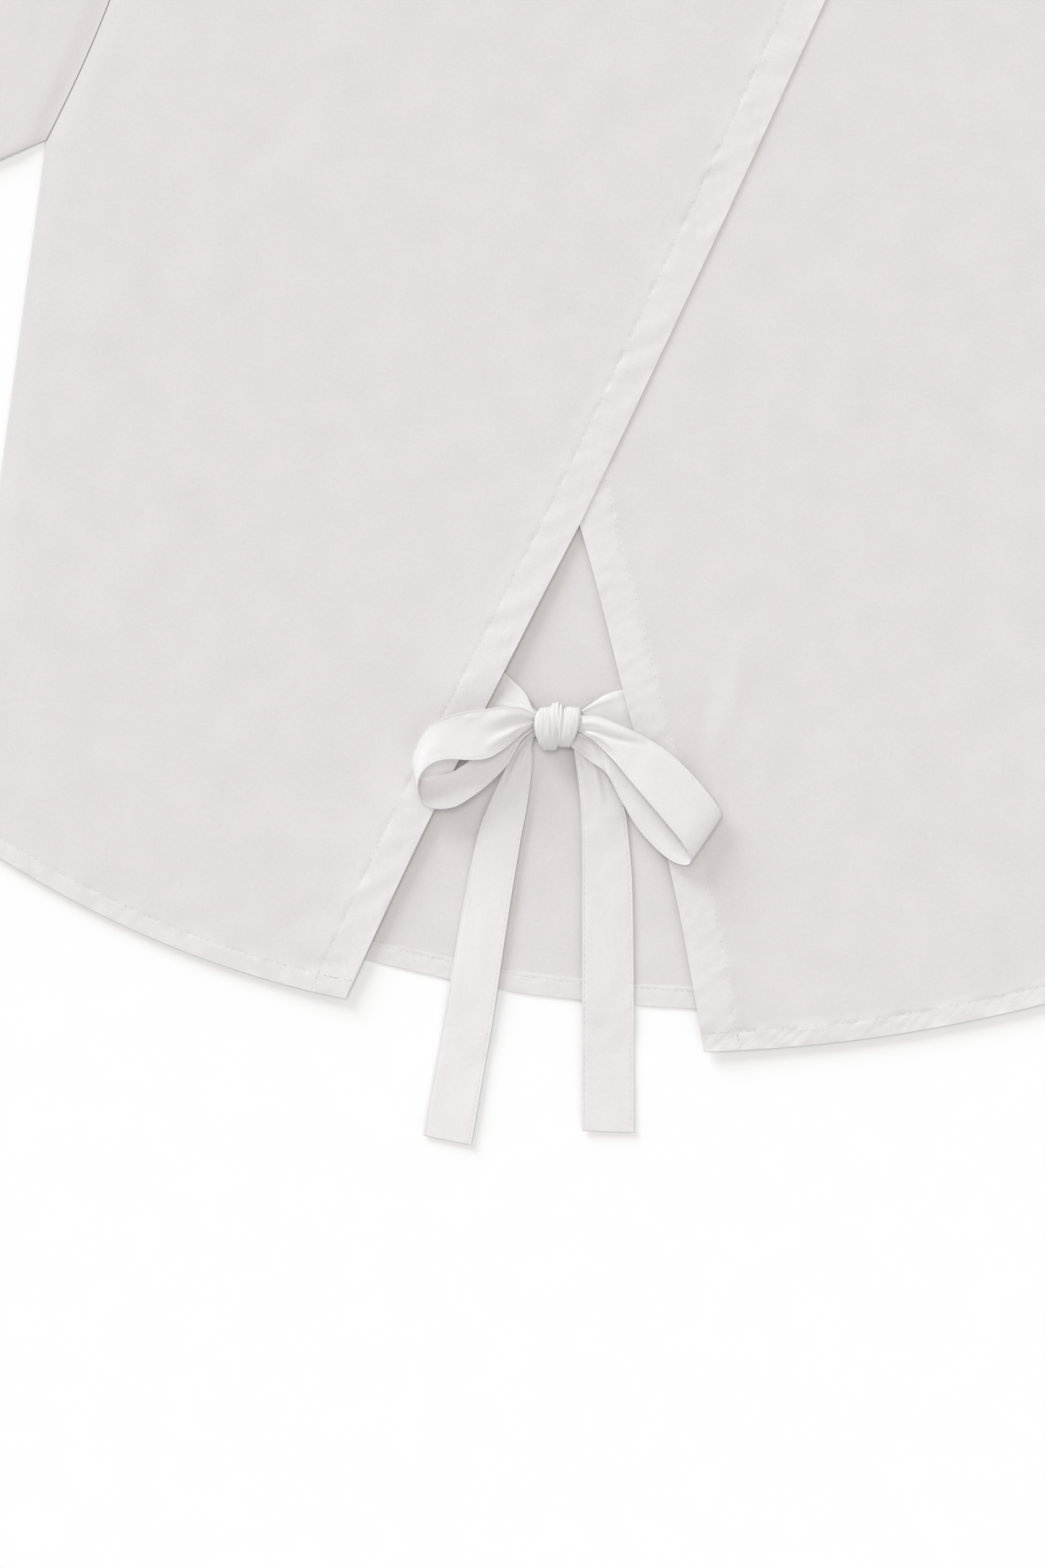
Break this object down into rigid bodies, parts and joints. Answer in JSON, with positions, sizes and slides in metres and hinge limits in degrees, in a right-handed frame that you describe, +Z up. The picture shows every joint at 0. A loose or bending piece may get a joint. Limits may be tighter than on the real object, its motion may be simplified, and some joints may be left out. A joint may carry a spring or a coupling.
{
  "type": "tie-front shirt",
  "caption": "Shirt in white poplin laid flat, with long sleeves and crossing fronts that open over the back and tie in a bow at the hem.",
  "frame": {"origin": "on the surface that the shirt lies on, under the middle of its box", "axes": "+Z up from the surface, +Y from the hem to the neck, +X towards the wearer's left sleeve, which is on the right as the shirt is looked at from above"},
  "size_m": [1.3632, 0.755, 0.0234],
  "materials": {
    "poplin": "off-white cotton poplin, one layer, matt",
    "tie_poplin": "off-white cotton poplin, doubled and pressed, matt"
  },
  "bodies": {
    "root": {"back": "poplin", "front_upper": "poplin", "front_under": "poplin", "sleeve_left": "poplin", "sleeve_right": "poplin", "neckband_front": "poplin", "neckband_back": "poplin", "tie_left_root": "tie_poplin", "tie_left_loop": "tie_poplin", "tie_left_tail": "tie_poplin", "tie_right_root": "tie_poplin", "tie_right_loop": "tie_poplin", "tie_right_tail": "tie_poplin", "knot": "tie_poplin"}
  },
  "joints": []
}
